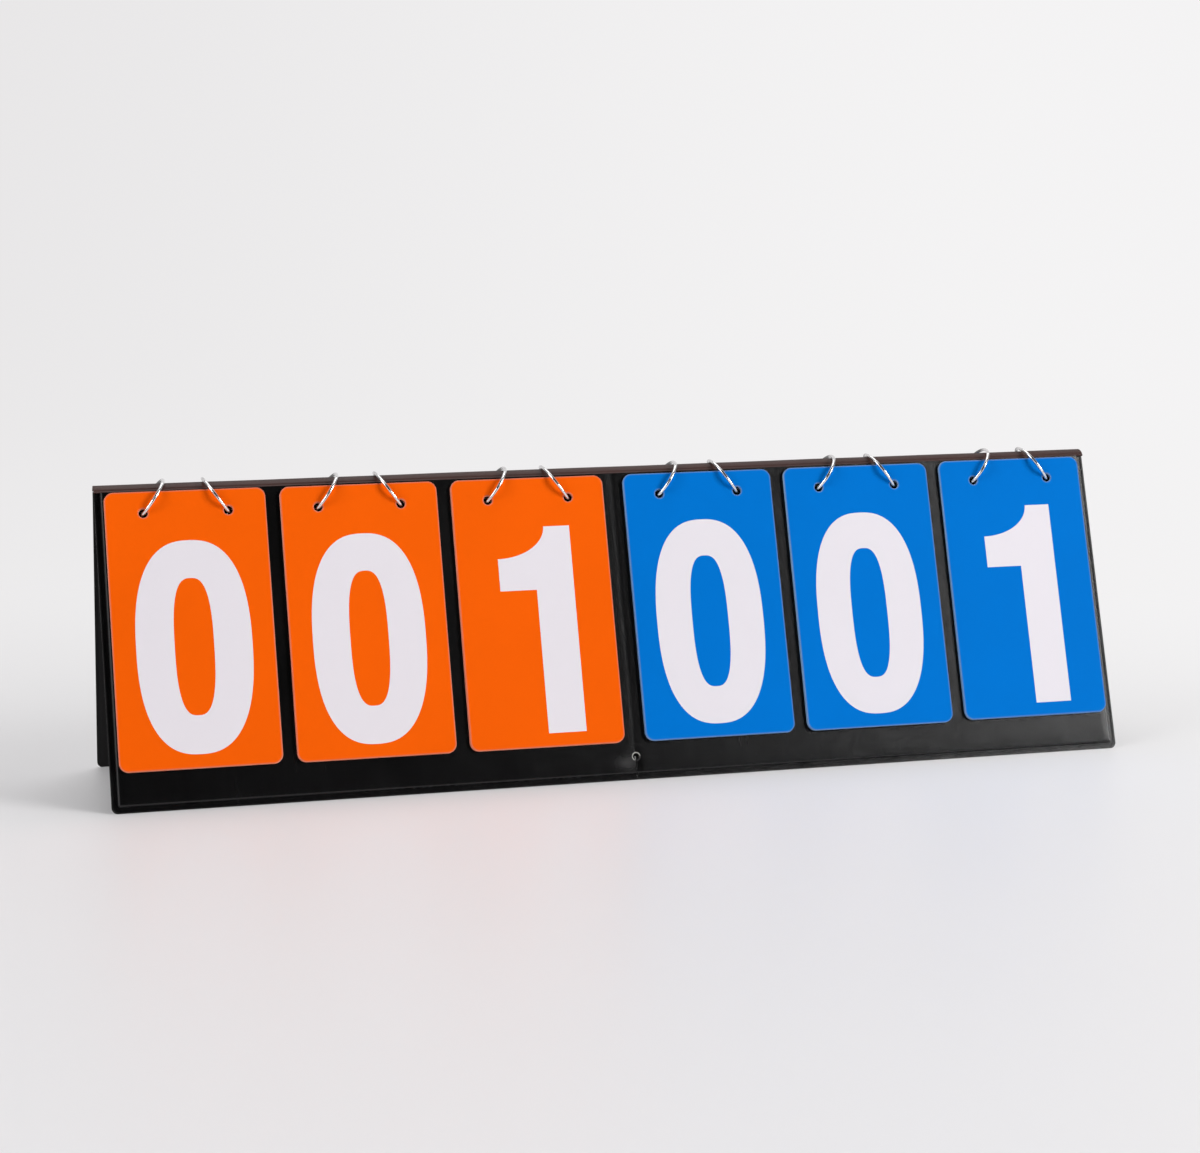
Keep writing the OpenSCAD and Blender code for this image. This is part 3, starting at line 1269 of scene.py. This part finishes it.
    def outline(self, xs: Array, us: Array, stop: float) -> Array:
        """The panel's outline, down its left side and round, with slit and stop hole.

        Args:
            xs: Places of the columns of points.
            us: Places of the rows of points, from the top down.
            stop: Radius of the stop hole.

        Returns:
            Points anticlockwise.
        """
        half, low, r = self.tent.length / 2, -self.tent.height, self.corner
        sides = us[us > low + r + 0.2]
        foot = xs[(np.abs(xs) < half - r - 0.2) & (np.abs(xs) > self.slit + 0.2)]
        reach = math.degrees(math.asin(self.slit / stop))
        throat = self.stop_at - math.sqrt(stop**2 - self.slit**2)
        cut = np.linspace(low, throat, 9)[:-1]
        gape = self.slit * np.linspace(0.06, 1.0, 9)[:-1]
        parts = [
            upright(-half, sides),
            arc((-half + r, low + r), r, 180, 270, 9),
            level(foot[foot < 0], low),
            np.stack([-gape, cut], 1),
            arc((0, self.stop_at), stop, 270 - reach, -90 + reach, 33),
            np.stack([gape[::-1], cut[::-1]], 1),
            level(foot[foot > 0], low),
            arc((half - r, low + r), r, 270, 360, 9),
            upright(half, sides[::-1]),
            level(xs[::-1][1:-1], 0.0),
        ]
        return np.concatenate(parts)

    def ring_hole(self, x: float, side: int, snug: bool, more: float = 0.0) -> Array:
        """Outline of a ring hole.

        Args:
            x: Middle of the CAD's hole along the panel.
            side: -1 at a column's left ring, 1 at its right ring.
            snug: True for a hole that just clears the way of the folding ring.
            more: Room outside the hole's own edge.

        Returns:
            Points clockwise.
        """
        if not snug:
            return circle((x, -self.hole_down), self.hole + more, 32)
        # The wire's room, how low it lies, and how far inward and outward it goes
        radius, low, inward, outer = 1.54 + more, 0.61, 0.26, 1.14
        left, right = sorted((x - inward * side, x + outer * side))
        at = -self.hole_down - low
        return np.concatenate([arc((right, at), radius, 90, -90, 16), arc((left, at), radius, 270, 90, 16)])

    def pattern(self, pitch: float, fine: float, stop: float, snug: bool = False) -> Pattern:
        """Cuts the panel's shape.

        Args:
            pitch: Distance between the points over most of the panel.
            fine: The same near the lower edge.
            stop: Radius of the stop hole.
            snug: True where the ring holes just clear the folding rings.

        Returns:
            The pattern for a skin or a lining.
        """
        half, tall = self.tent.length / 2, self.tent.height
        steps = np.array(self.steps)
        # Places of the rows beside the fold and below the top edge
        centre = np.array([0.55, 0.85, 1.2, 1.6, 2.0, 2.4, 3.0, 3.8, 5.0])
        run = np.arange(centre[-1] + 1.4, half - 6.3, pitch)
        right = np.concatenate([centre, run, half - steps[::-1], [half]])
        xs = np.concatenate([-right[::-1], [0.0], right])
        top = np.array([0.0, -0.5, -1.0, -1.5, -2.0, -2.5, -3.5])
        down = np.arange(top[-1] - pitch * 1.5, -tall + 24.0, -pitch * 1.5)
        foot = np.arange(down[-1] - fine, -tall + 6.3, -fine)
        us = np.concatenate([top, down, foot, -tall + steps[::-1]])
        fill = grid(xs, us[1:])
        keep = np.hypot(fill[:, 0], fill[:, 1] - self.stop_at) > stop + 1.1
        holes, around = [], []
        for side, x in zip((-1, 1) * (len(self.hole_x) // 2), self.hole_x, strict=True):
            keep &= np.hypot(fill[:, 0] - x, fill[:, 1] + self.hole_down) > self.hole + 1.3
            holes.append(self.ring_hole(x, side, snug))
            around.append(self.ring_hole(x, side, snug, 0.8))
        collar = [arc((0, self.stop_at), stop + w, 250, -70, 30) for w in (0.2, 0.35, 0.5, 0.68, 0.85)]
        fill = np.concatenate([fill[keep], *around, *collar])
        return Pattern([self.outline(xs, us, stop), *holes], fill, soft=0.1, clear=0.17)

    def build(self, skin: Pattern, lining: Pattern) -> None:
        """Builds both layers.

        Args:
            skin: Fine pattern.
            lining: Coarser pattern.
        """
        word, body = self.side.word, self.side.body
        outer = skin.solid(self.skin_front, self.skin_rear, self.edge_wear)
        piece = self.tent.piece(f"{word}_skin", self.side, outer, [COVER.material()])
        report(piece, body, "cover_vinyl", f"{word}_cover")
        low = -(self.thick - self.sheet)
        inner = lining.solid(lambda x, u: np.full(len(x), low), self.lining_rear)
        piece = self.tent.piece(f"{word}_lining", self.side, inner, [LINING.material()])
        report(piece, body, "lining_vinyl", f"{word}_liner")


@dataclass
class RidgeStrip:
    """Vinyl arched over the ridge, welded to both panels.

    Attributes:
        tent: How the panels stand.
        rise: Height of the arch.
        thick: Thickness of the vinyl.
        across: Number of facets over the arch.
        pitch: Distance between cross-sections.
        end: Length of the rounded ends.
        narrow: Size of the end sections, across and upward.
    """

    tent: Tent
    rise: float = 3.1
    thick: float = 0.8
    across: int = 30
    pitch: float = 2.5
    end: float = 0.12
    narrow: Pair = (0.985, 0.94)

    def section(self, x: float) -> Array:
        """Outline of the strip at one place along it, outer face first.

        Args:
            x: Place along the ridge.

        Returns:
            Points as rows of across and upward.
        """
        half = self.tent.ridge_w / 2
        radius = (half**2 + self.rise**2) / (2 * self.rise)
        low = self.tent.ridge_z + self.rise - radius
        reach = math.asin(half / radius)
        turn = np.linspace(-reach, reach, self.across + 1)
        from_weld = (reach - np.abs(turn)) * radius
        pressed = RIDGE_LINE(from_weld)
        slack = 0.05 + 0.05 * math.sin(x / 31.0 + 0.6) + 0.03 * math.sin(x / 11.3)
        sunk = pressed + slack * smooth((from_weld - 1.2) / 2.0)
        outer = np.stack([np.sin(turn), np.cos(turn)], 1) * (radius - sunk)[:, None]
        inner = np.stack([np.sin(turn), np.cos(turn)], 1) * (radius - self.thick - 0.1)
        return np.concatenate([outer, inner[::-1]]) + [0.0, low]

    def build(self) -> None:
        """Lofts the sections and closes the ends."""
        half = self.tent.length / 2
        run = np.arange(-half + 1.0, half - 0.5, self.pitch)
        xs = np.concatenate([[-half, -half + self.end], run, [half - self.end, half]])
        rings = [self.section(x) for x in xs]
        middle = rings[0].mean(0)
        for end in (0, -1):
            rings[end] = middle + (rings[end] - middle) * self.narrow
        count = len(rings[0])
        points = np.concatenate(
            [np.column_stack([np.full(count, x), ring]) for x, ring in zip(xs, rings, strict=True)]
        )
        faces: list[list[int]] = []
        for i in range(len(xs) - 1):
            a, b = i * count, (i + 1) * count
            faces += [[a + j, a + (j + 1) % count, b + (j + 1) % count, b + j] for j in range(count)]
        n, last = self.across + 1, (len(xs) - 1) * count
        for j in range(self.across):
            quad = [j, j + 1, count - 2 - j, count - 1 - j]
            faces.append(quad[::-1])
            faces.append([last + k for k in quad])
        place = np.tile((np.abs(np.arange(count) - n / 2) < n / 6).astype(float) * 0.5, len(xs))
        piece = make_object("ridge_strip", points * MM, faces, [SPINE.material()], place)
        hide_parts("ridge_spine")
        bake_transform(piece)
        LOG.info("ridge_strip: %d points bending over the ridge", len(points))


# Cards


class Digit(Enum):
    """Outlines of the numerals, from a card's top left corner, downward."""

    ZERO = 0
    ONE = 1
    TWO = 2

    def outlines(self) -> list[Array]:
        """The numeral's outlines as x and distance down."""
        return {Digit.ZERO: self._zero, Digit.ONE: self._one, Digit.TWO: self._two}[self]()

    @staticmethod
    def _oval(middle: tuple[float, float], a: float, b: float, power: float) -> Array:
        """A squarish oval.

        Args:
            middle: Its middle.
            a: Half its width.
            b: Half its height.
            power: 2 for a true oval, more for a squarer one.

        Returns:
            Points as rows.
        """
        t = np.linspace(0, 2 * math.pi, 121)[:-1]
        c, s = np.cos(t), np.sin(t)
        x = middle[0] + a * np.sign(c) * np.abs(c) ** (2 / power)
        y = middle[1] + b * np.sign(s) * np.abs(s) ** (2 / power)
        return np.stack([x, y], 1)

    def _zero(self) -> list[Array]:
        """A narrow oval with an oval counter."""
        outer = self._oval((43.1, 85.05), a=30.8, b=57.65, power=2.5)
        return [outer, self._oval((43.05, 85.0), a=10.45, b=37.0, power=2.8)]

    @staticmethod
    def _one() -> list[Array]:
        """A straight stem with a hollow flag.

        Returns:
            Its one outline.
        """
        t = np.radians(np.linspace(0, 90, 22))
        flag = np.stack([23.2 + 27.0 * np.sin(t), 27.7 + 17.3 * np.cos(t)], 1)
        stem = [(64.85, 27.7), (64.85, 142.6), (43.7, 142.6), (43.7, 63.0), (23.2, 63.0)]
        return [np.concatenate([flag, np.array(stem)])]

    @staticmethod
    def _two() -> list[Array]:
        """A full bowl over a swept diagonal and a flat foot.

        Returns:
            Its one outline.
        """
        parts = [
            np.array([(13.2, 142.6), (72.8, 142.6), (72.8, 123.0)]),
            curve((38.6, 123.0), (44.5, 110.5), (73.6, 92.0), (73.6, 62.0)),
            curve((73.6, 62.0), (73.6, 40.0), (62.5, 27.4), (43.2, 27.4)),
            curve((43.2, 27.4), (23.5, 27.4), (12.9, 39.5), (12.9, 66.5)),
            np.array([(12.9, 66.5)]),
            curve((33.0, 66.5), (33.0, 52.5), (36.0, 45.5), (43.0, 45.5)),
            curve((43.0, 45.5), (50.0, 45.5), (52.6, 52.0), (52.6, 61.5)),
            curve((52.6, 61.5), (52.6, 84.0), (13.2, 96.0), (13.2, 132.0)),
        ]
        return [np.concatenate(parts)]


@dataclass
class CardKit:
    """Cards and numerals in the size that all columns share.

    Attributes:
        width: Width of a card.
        height: Height of a card.
        thick: Thickness of a card.
        step: Distance from one card to the next in a stack.
        corner: Radius of its corners.
        hole: Radius of its holes.
        hole_x: Distance of a hole from the middle.
        hole_down: Distance of the holes from the top edge.
        ink: Height of the print over the card.
        lift: How far a top card's lower corners stand off.
        rim: Distances inward of the rows of points that bound the pale rim, partly scuffing and partly
            painted highlight.
        fade: Width over which the pale rim ends.
    """

    width: float = 86.0
    height: float = 150.0
    thick: float = 0.2
    step: float = 0.23
    corner: float = 5.0
    hole: float = 2.5
    hole_x: float = 22.7
    hole_down: float = 11.8
    ink: float = 0.018
    lift: float = 0.11
    rim: Pair = (0.42, 0.78)
    fade: float = 0.35

    def __post_init__(self) -> None:
        """Cuts the card and the numerals once."""
        w, h, r = self.width / 2, self.height, self.corner
        xs, us = np.linspace(-w + r, w - r, 11), np.linspace(-r, r - h, 19)
        loop = [
            arc((-w + r, -r), r, 90, 180, 13),
            upright(-w, us[1:-1]),
            arc((-w + r, r - h), r, 180, 270, 13),
            level(xs[1:-1], -h),
            arc((w - r, r - h), r, 270, 360, 13),
            upright(w, us[::-1][1:-1]),
            arc((w - r, -r), r, 0, 90, 13),
            level(xs[::-1][1:-1], 0.0),
        ]
        holes = [circle((x, -self.hole_down), self.hole, 36) for x in (-self.hole_x, self.hole_x)]
        fill = grid(np.linspace(-w + 3, w - 3, 11), np.linspace(-3, 3 - h, 19))
        outlines = [np.concatenate(loop), *holes]
        self.card = Pattern(outlines, fill, soft=0.05, clear=1.9, collars=self.rim)
        self.digits: dict[Digit, Pattern] = {}
        for digit in Digit:
            loops = []
            for index, line in enumerate(digit.outlines()):
                line = np.stack([line[:, 0] - w, -line[:, 1]], 1)
                anticlockwise = index == 0
                loops.append(line if (area(line) > 0) == anticlockwise else line[::-1])
            self.digits[digit] = Pattern(loops, grid(np.linspace(-40, 40, 11), us), clear=1.2)

    def bow(self, x: Array, u: Array) -> Array:
        """How far a top card stands off the one below, 0 at its rings."""
        down = np.clip(-u / self.height, 0.0, 1.0)
        return self.lift * down**2 * (0.45 + 0.55 * (2 * x / self.width) ** 2)

    def wear_with_highlight(self, x: Array, u: Array) -> Array:
        """Pale rim near a card's outline and its holes, partly from handling and partly a painted
        highlight.

        Args:
            x: Places across the card.
            u: Places up the card, 0 at its top edge.

        Returns:
            Share of the pale rim, from 0 to 1.
        """
        d = depth(self.width / 2 - np.abs(x), np.minimum(-u, self.height + u), self.corner)
        hole = np.hypot(np.abs(x) - self.hole_x, u + self.hole_down) - self.hole
        return 1.0 - smooth((np.minimum(d, hole) - self.rim[0]) / self.fade)

    def sheet(self, place: int, curl: float) -> Solid:
        """One card at its place in a stack, with a share of the bow.

        Args:
            place: Place in the stack, 0 at the panel.
            curl: Share of a top card's bow.

        Returns:
            The card as a solid.
        """
        low = place * self.step

        def rear(x: Array, u: Array) -> Array:
            """Height of the card's back."""
            return low + curl * self.bow(x, u)

        return self.card.solid(lambda x, u: rear(x, u) + self.thick, rear, self.wear_with_highlight)

    def numeral(self, digit: Digit, place: int, curl: float) -> Solid:
        """The print of a numeral on the card at that place.

        Args:
            digit: Which numeral.
            place: Place of its card in the stack.
            curl: Share of a top card's bow.

        Returns:
            The print as a solid.
        """
        top = place * self.step + self.thick

        def height(rise: float) -> Field:
            """A face of the print that far over the card."""
            return lambda x, u: top + rise + curl * self.bow(x, u)

        return self.digits[digit].solid(height(self.ink), height(-self.ink))


@dataclass
class Column:
    """One column of cards on its two rings.

    Attributes:
        tent: How the panels stand.
        kit: The cards' common shapes.
        loose: The same with the wider holes of turned cards.
        number: Place of the column, 1 to 6 from the left.
        hang: How much lower it hangs than the general line.
        turned: Cards turned to the back.
        count: Cards in the column.
        drop: Distance from the panel's top edge to a card.
        turned_drop: How much lower a turned card hangs.
        inner: Distance of the inner columns from the middle.
        pitch: Distance from one column to the next.
        askew: How far a card of the deck may lie off, along, up, and turned in degrees.
    """

    tent: Tent
    kit: CardKit
    loose: CardKit
    number: int
    hang: float
    turned: int
    count: int = 10
    drop: float = 1.2
    turned_drop: float = 1.2
    inner: float = 49.0
    pitch: float = 94.0
    askew: Triple = (0.22, 0.2, 0.09)

    @property
    def ink(self) -> Ink:
        """Colour of the column."""
        return Ink.ORANGE if self.number <= 3 else Ink.BLUE

    @property
    def x(self) -> float:
        """Middle of the column along the ridge.

        Returns:
            The place in millimetres.
        """
        if self.number <= 3:
            return -self.inner - self.pitch * (3 - self.number)
        return self.inner + self.pitch * (self.number - 4)

    def put(self, name: str, side: Side, solid: Solid, body: str, lower: float, *nodes: str) -> None:
        """Hangs a solid made at the origin in its column and dresses it.

        Args:
            name: Name of the piece.
            side: Panel that it hangs on.
            solid: The solid.
            body: Body that carries it.
            lower: How much lower than the column it hangs.
            *nodes: Nodes of the frame that it stands for.
        """
        hung = solid.moved(self.x, -self.drop - self.hang - lower)
        if name.startswith("numeral"):
            piece = self.tent.piece(name, side, hung, [WHITE_INK.material()])
            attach(piece, body)
            LOG.info("%s on %s", name, body)
            return
        piece = self.tent.piece(name, side, hung, self.ink.faces())
        report(piece, body, self.ink.slot, *nodes)

    def build(self) -> None:
        """Builds the deck, the top card, the turned card and their numerals."""
        k, kit = self.number, self.kit
        front = self.count - self.turned
        draw = np.random.default_rng(100 + k)
        deck: Solid | None = None
        for place in range(front - 1):
            along, up, turn = (draw.uniform(-most, most) for most in self.askew)
            if place == front - 2:
                along = up = turn = 0.0
            card = kit.sheet(place, place / (front - 1)).moved(along, up, turn)
            deck = card if deck is None else deck + card
        top = Digit(self.turned)
        self.put(f"deck_cards_{k}", Side.FRONT, deck, "root", 0.0, f"deck_{k}")
        under = kit.numeral(Digit(self.turned + 1), front - 2, (front - 2) / (front - 1))
        self.put(f"numeral_under_{k}", Side.FRONT, under, "root", 0.0)
        card = kit.sheet(front - 1, 1.0)
        self.put(f"front_card_{k}", Side.FRONT, card, f"top_card_{k}", 0.0, f"top_card_{k}")
        self.put(f"numeral_{k}", Side.FRONT, kit.numeral(top, front - 1, 1.0), f"top_card_{k}", 0.0)
        if self.turned:
            self.build_turned()

    def build_turned(self) -> None:
        """Builds the card that hangs at the back, its numeral against the panel."""
        k, kit = self.number, self.loose
        body, lower = f"turned_card_{k}", self.turned_drop
        self.put(f"back_card_{k}", Side.BACK, kit.sheet(0, 0.0), body, lower, body)
        print_low = kit.digits[Digit.ZERO].solid(
            lambda x, u: np.full(len(x), kit.ink), lambda x, u: np.full(len(x), -kit.ink)
        )
        self.put(f"numeral_back_{k}", Side.BACK, print_low, body, lower)


@dataclass
class Hardware:
    """Rings and boards, which keep the frame's own meshes.

    Attributes:
        nodes: Objects of the frame by node name.
    """

    nodes: dict[str, bpy.types.Object]

    def dress(self, prefix: str, finish: Finish) -> None:
        """Gives every node whose name starts that way a finish.

        Args:
            prefix: Start of the nodes' names.
            finish: The finish.
        """
        for name, piece in self.nodes.items():
            if not name.startswith(prefix):
                continue
            piece.data.materials.clear()
            piece.data.materials.append(finish.material())
            LOG.info("%s keeps its own mesh", name)

    def build(self) -> None:
        """Dresses the rings and the boards."""
        self.dress("ring_", CHROME)
        for side in Side:
            self.dress(f"{side.word}_board", BOARD)


# Studio


def outward(azimuth: float, elevation: float) -> Vector:
    """Direction from the object, in degrees: 0 in front and 90 to the right."""
    a, e = math.radians(azimuth), math.radians(elevation)
    return Vector((math.sin(a) * math.cos(e), -math.cos(a) * math.cos(e), math.sin(e)))


@dataclass(frozen=True)
class Softbox:
    """A soft rectangular lamp aimed at the scoreboard.

    Attributes:
        name: Name of the lamp.
        azimuth: Direction round the object, in degrees.
        elevation: Height above the horizon, in degrees.
        distance: Distance in metres.
        size: Width and height in metres.
        power: Power in watts.
        aim: Point that it is aimed at.
    """

    name: str
    azimuth: float
    elevation: float
    distance: float
    size: tuple[float, float]
    power: float
    aim: Triple = (0.0, 0.0, 0.08)

    def build(self) -> None:
        """Hangs the lamp."""
        away = outward(self.azimuth, self.elevation)
        lamp = bpy.data.lights.new(self.name, "AREA")
        lamp.shape = "RECTANGLE"
        lamp.size, lamp.size_y = self.size
        lamp.energy = self.power
        made = put_in_scene(self.name, lamp)
        made.location = Vector(self.aim) + away * self.distance
        made.rotation_euler = away.to_track_quat("Z", "Y").to_euler()


@dataclass
class Studio:
    """Floor, backdrop, lamps and camera.

    Attributes:
        azimuth: Direction from which the camera looks, in degrees.
        elevation: Its height above the horizon.
        roll: Its turn about its own line of sight.
        distance: Its distance from the target in metres.
        target: The point that it looks at.
        lens: Focal length on a 36 mm frame.
        room_tone: Light of the room all round.
        dark_tone: Light of the room in front of the scoreboard.
        dark_way: Direction of that dark part.
        dark_turn: How nearly a direction points there, between room and dark.
        tone_turn: The same across the studio, between the sweep's left and right tones.
        lamps: Soft lamps.
    """

    azimuth: float = -14.1169
    elevation: float = 8.6872
    roll: float = -0.5508
    distance: float = 1.5124757
    target: tuple[float, float, float] = (-0.0052959, 0.0, 0.1046011)
    lens: float = 80.4156
    room_tone: Colour = (0.38, 0.38, 0.385)
    dark_tone: Colour = (0.01, 0.01, 0.01)
    dark_way: Triple = (0.0, -0.87, 0.49)
    dark_turn: Pair = (0.1, 0.7)
    tone_turn: Pair = (-0.3, 0.18)
    lamps: Sequence[Softbox] = (
        Softbox("key", 52.5, 21.0, distance=3.2, size=(1.3, 1.3), power=84.0),
        Softbox("fill", -66.0, 26.0, distance=3.2, size=(1.5, 1.8), power=46.0),
        Softbox("overhead", 160.0, 78.0, distance=3.0, size=(2.4, 2.0), power=36.0),
    )

    def build_sweep(self) -> None:
        """Makes the floor that curves up into a backdrop."""
        start, radius, top, half = 2.2, 1.3, 4.5, 5.0
        bend = np.radians(np.linspace(-90, 0, 25))
        profile = [(-half, 0.0), (-1.5, 0.0), (0.0, 0.0), (1.2, 0.0)]
        profile += [(start + radius * math.cos(t), radius + radius * math.sin(t)) for t in bend]
        profile += [(start + radius, top)]
        xs = np.linspace(-half, half, 9)
        points = np.array([(x, y, z) for y, z in profile for x in xs])
        wide = len(xs)
        faces = [
            (r * wide + i, r * wide + i + 1, (r + 1) * wide + i + 1, (r + 1) * wide + i)
            for r in range(len(profile) - 1)
            for i in range(wide - 1)
        ]
        make_object("studio_sweep", points, faces, [SWEEP.material()])

    def build_world(self) -> None:
        """Lights the room: pale all round, dim in front of the scoreboard."""
        world = bpy.data.worlds.new("studio")
        bpy.context.scene.world = world
        world.use_nodes = True
        graph = Graph(world.node_tree)
        way = graph.node("ShaderNodeTexCoord", output="Generated")
        dim = graph.along(way, self.dark_way).between(*self.dark_turn)
        room = graph.mix(dim, self.room_tone, self.dark_tone)
        side = graph.along(way, ACROSS).between(*self.tone_turn)
        colour = graph.mix(graph.ray("Camera"), room, graph.mix(side, SWEEP.left, SWEEP.right))
        shade = graph.node("ShaderNodeBackground", inputs={"Color": colour, "Strength": 1.0})
        graph.node("ShaderNodeOutputWorld", inputs={"Surface": shade})

    def build_camera(self) -> None:
        """Sets the camera where the photograph was taken from."""
        back, r = outward(self.azimuth, self.elevation), math.radians(self.roll)
        right = (-back).cross(Vector((0, 0, 1))).normalized()
        up = right.cross(-back)
        across = right * math.cos(r) + up * math.sin(r)
        upward = up * math.cos(r) - right * math.sin(r)
        lens = bpy.data.cameras.new("camera")
        lens.lens, lens.sensor_width = self.lens, 36.0
        lens.clip_start, lens.clip_end = 0.05, 50.0
        made = put_in_scene("camera", lens)
        turn = Matrix((across, upward, back)).transposed().to_4x4()
        made.matrix_world = Matrix.Translation(Vector(self.target) + back * self.distance) @ turn
        bpy.context.scene.camera = made

    def build(self) -> None:
        """Sets up the whole studio."""
        self.build_camera()
        self.build_sweep()
        self.build_world()
        for lamp in self.lamps:
            lamp.build()
        bpy.context.scene.view_settings.view_transform = "Standard"
        LOG.info("studio with %d lamps", len(self.lamps))


# Main


def main() -> None:
    """Builds the scoreboard around its frame."""
    logging.basicConfig(level=logging.INFO, format="%(message)s")
    for left_over in list(bpy.data.objects):
        bpy.data.objects.remove(left_over)
    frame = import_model()
    Studio().build()

    tent, kit, loose = Tent(), CardKit(), CardKit(hole=TURNED_HOLE)
    columns = [
        Column(tent, kit, loose, number, hang, turned)
        for number, (hang, turned) in enumerate(zip(HANGS, TURNED, strict=True), 1)
    ]
    ring_x = [c.x + s * (kit.hole_x + RING_OUT) for c in columns for s in (-1, 1)]
    panels = [Panel(tent, side, hole_x=ring_x) for side in Side]
    skin = panels[0].pattern(pitch=1.7, fine=1.5, stop=panels[0].stop)
    lining = panels[0].pattern(pitch=6.0, fine=5.0, stop=LINING_STOP, snug=True)
    for panel in panels:
        panel.build(skin, lining)
    RidgeStrip(tent).build()
    for column in columns:
        column.build()
    Hardware(frame["nodes"]).build()


if __name__ == "__main__":
    main()
